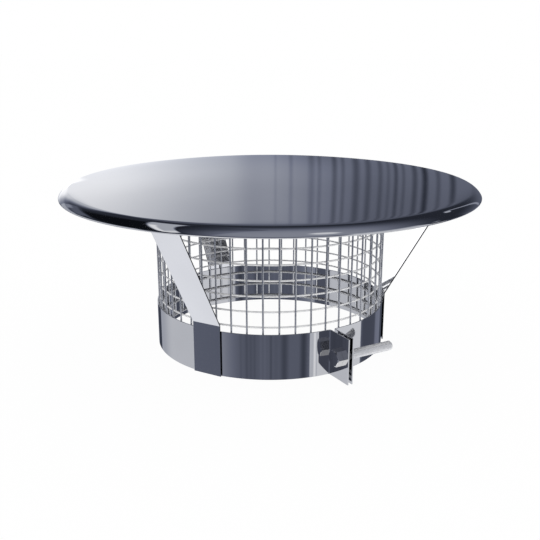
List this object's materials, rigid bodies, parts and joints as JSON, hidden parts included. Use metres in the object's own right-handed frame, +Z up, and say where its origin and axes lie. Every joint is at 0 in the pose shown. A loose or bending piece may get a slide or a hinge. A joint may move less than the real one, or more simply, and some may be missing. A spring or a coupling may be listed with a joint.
{
  "type": "chimney rain cap",
  "caption": "Round stainless chimney rain cap with a shallow domed cover on bent strip legs, a welded-mesh bird guard and a split clamp band closed by a hex bolt.",
  "frame": {"origin": "on the cap's axis at the bottom of the clamp band, where the part stands", "axes": "+Z up along the flue towards the dome; -Y faces the picture's camera; +X to its right"},
  "size_m": [0.3668, 0.3668, 0.1598],
  "materials": {
    "cover_sheet": "bright rolled stainless sheet, near mirror",
    "band_sheet": "bright rolled stainless sheet, near mirror",
    "leg_sheet": "bright rolled stainless strip, near mirror",
    "upright_wire": "drawn stainless wire, satin",
    "hoop_wire": "drawn stainless wire, satin bright",
    "bolt_steel": "rolled stainless thread, plain head",
    "nut_steel": "turned stainless, satin"
  },
  "bodies": {
    "cap": {"cap_cover": "cover_sheet", "leg_front": "leg_sheet", "leg_right": "leg_sheet", "leg_back": "leg_sheet", "clamp_band": "band_sheet", "mesh_uprights": "upright_wire", "mesh_hoop_01": "hoop_wire", "mesh_hoop_02": "hoop_wire", "mesh_hoop_03": "hoop_wire", "mesh_hoop_04": "hoop_wire", "mesh_hoop_05": "hoop_wire", "mesh_hoop_06": "hoop_wire", "mesh_hoop_07": "hoop_wire", "mesh_hoop_08": "hoop_wire", "mesh_hoop_09": "hoop_wire", "mesh_hoop_10": "hoop_wire", "mesh_hoop_11": "hoop_wire", "mesh_hoop_12": "hoop_wire"},
    "bolt": {"clamp_bolt": "bolt_steel"},
    "nut": {"clamp_nut": "nut_steel"}
  },
  "joints": [
    {"name": "bolt_travel", "type": "slide", "parent": "cap", "child": "bolt", "axis": [-0.8692, -0.4944, 0], "range_m": [0, 0.04375]},
    {"name": "nut_turn", "type": "hinge", "parent": "cap", "child": "nut", "pos_m": [0.05761, -0.10129, 0.0195], "axis": [0.8692, 0.4944, 0], "range_deg": [0, 12601]}
  ],
  "couplings": [
    {"joint": "nut_turn", "follows": "bolt_travel", "rad_per_m": 5026.5}
  ]
}
